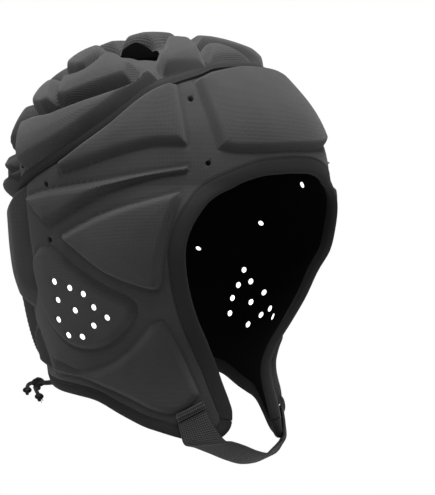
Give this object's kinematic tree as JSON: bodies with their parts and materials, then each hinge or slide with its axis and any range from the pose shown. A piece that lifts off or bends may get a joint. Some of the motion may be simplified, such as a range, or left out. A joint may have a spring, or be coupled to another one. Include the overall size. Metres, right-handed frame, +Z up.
{
  "type": "rugby scrum cap",
  "caption": "Padded cloth head guard with a block-padded crown, ear vents, bound face opening, chin strap and a laced split at the back.",
  "frame": {"origin": "top of the inside of the crown, where the cap sits on a head", "axes": "+Z up, -Y towards the face opening, -X towards the wearer's right"},
  "size_m": [0.1806, 0.2343, 0.2694],
  "materials": {
    "crown_cloth": "fine woven polyester over foam",
    "panel_cloth": "fine woven polyester over foam",
    "tape": "flat woven tape",
    "binding": "folded edge binding",
    "webbing": "heather webbing",
    "lace_cord": "round braided cord",
    "lock_plastic": "satin black"
  },
  "bodies": {
    "root": {"crown_panel": "crown_cloth", "side_panel": "panel_cloth", "crown_seam_tape": "tape", "face_binding": "binding", "hem_binding_right": "binding", "hem_binding_left": "binding", "chin_strap": "webbing", "chin_strap_patch": "webbing", "chin_strap_tab": "webbing", "rear_lace": "lace_cord", "cord_lock": "lock_plastic", "lace_tail_1": "lace_cord", "lace_tail_2": "lace_cord", "lace_knot": "lace_cord", "lace_tip_1": "lace_cord", "lace_tip_2": "lace_cord"}
  },
  "joints": []
}
